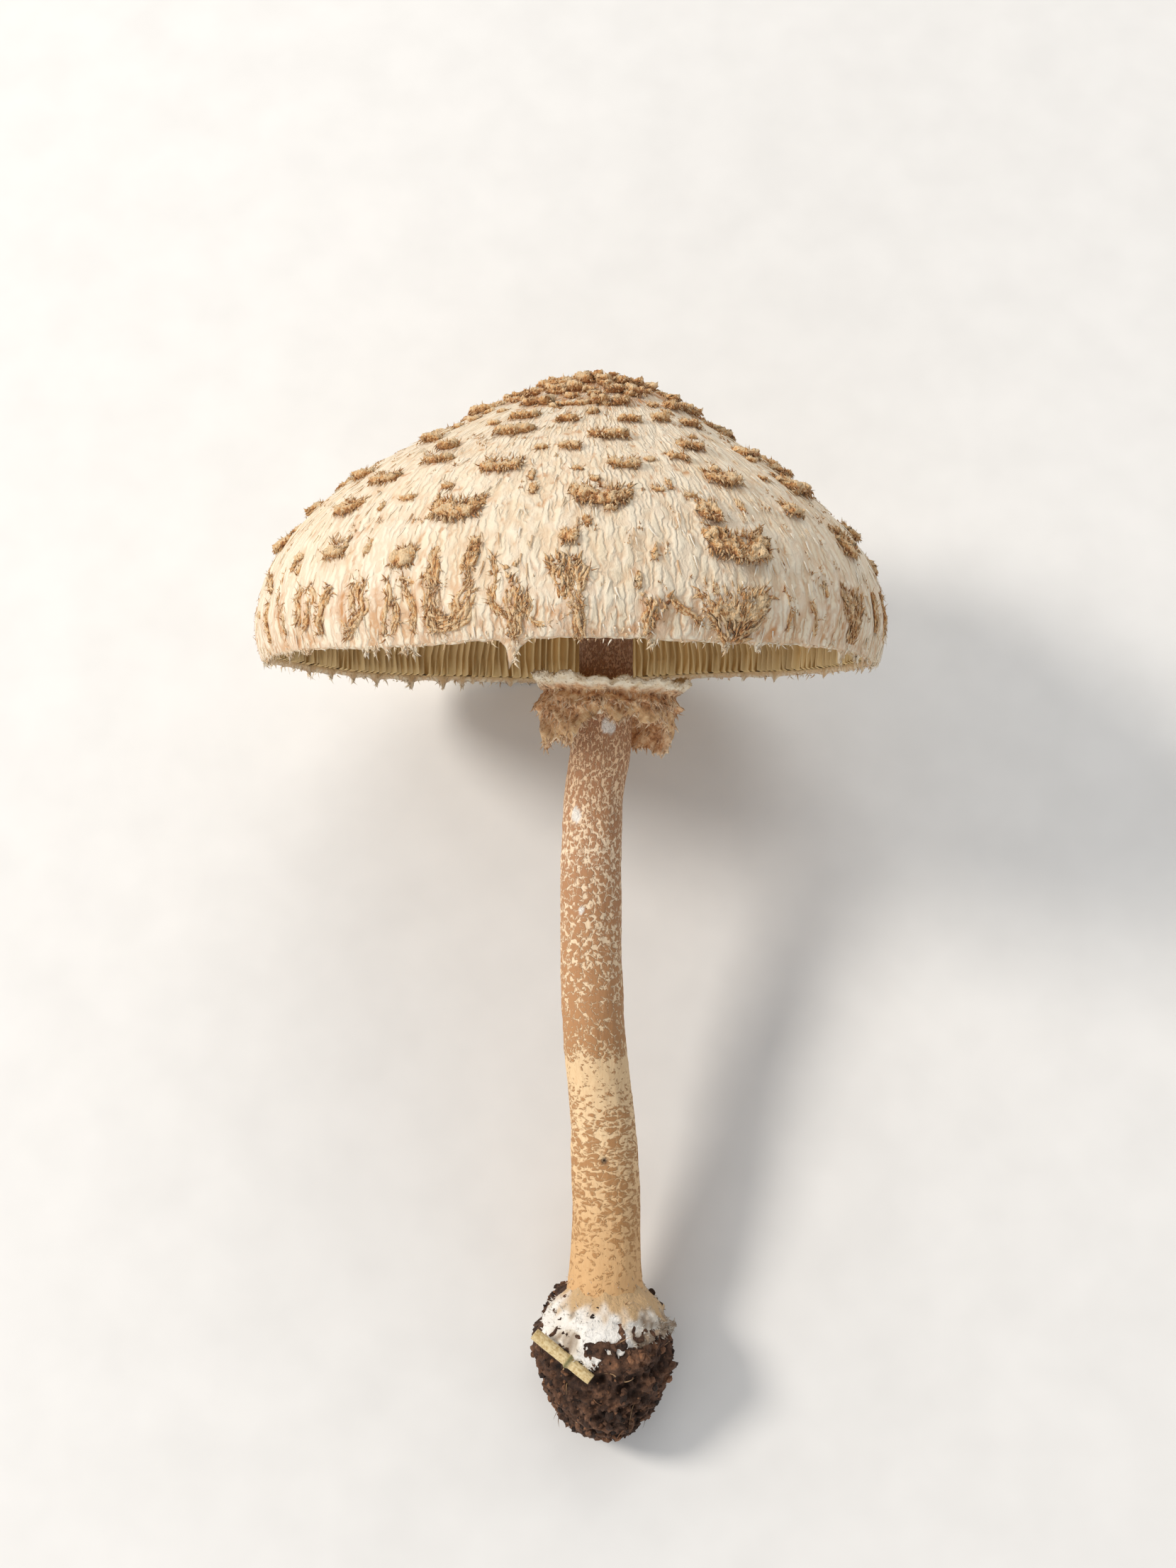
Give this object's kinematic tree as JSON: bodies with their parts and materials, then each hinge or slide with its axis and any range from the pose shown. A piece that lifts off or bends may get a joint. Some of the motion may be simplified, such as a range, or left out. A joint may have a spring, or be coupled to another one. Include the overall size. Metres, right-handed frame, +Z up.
{
  "type": "parasol mushroom",
  "caption": "Picked parasol mushroom with a domed scaly cap, gills, a ring and a long stem with soil on its foot, lying on a surface.",
  "frame": {"origin": "on the surface the mushroom lies on, under the middle of its bounding box", "axes": "+Z up from that surface, +Y from the ball of soil towards the cap, +X to the right of one who stands at the soil and looks at the cap"},
  "size_m": [0.1512, 0.2368, 0.1413],
  "materials": {
    "cap_flesh": "matte, fibrous, cream with brown scales",
    "gill_tissue": "matte",
    "stem_tissue": "matte, fibrous, banded brown on cream",
    "ring_tissue": "matte, woolly",
    "mycelium_felt": "matte, felted",
    "soil": "rough, crumbly",
    "dry_straw": "satin"
  },
  "bodies": {
    "root": {"cap": "cap_flesh", "gills": "gill_tissue", "stem": "stem_tissue", "ring": "ring_tissue", "mycelium": "mycelium_felt", "soil_clump": "soil", "straw": "dry_straw"}
  },
  "joints": []
}
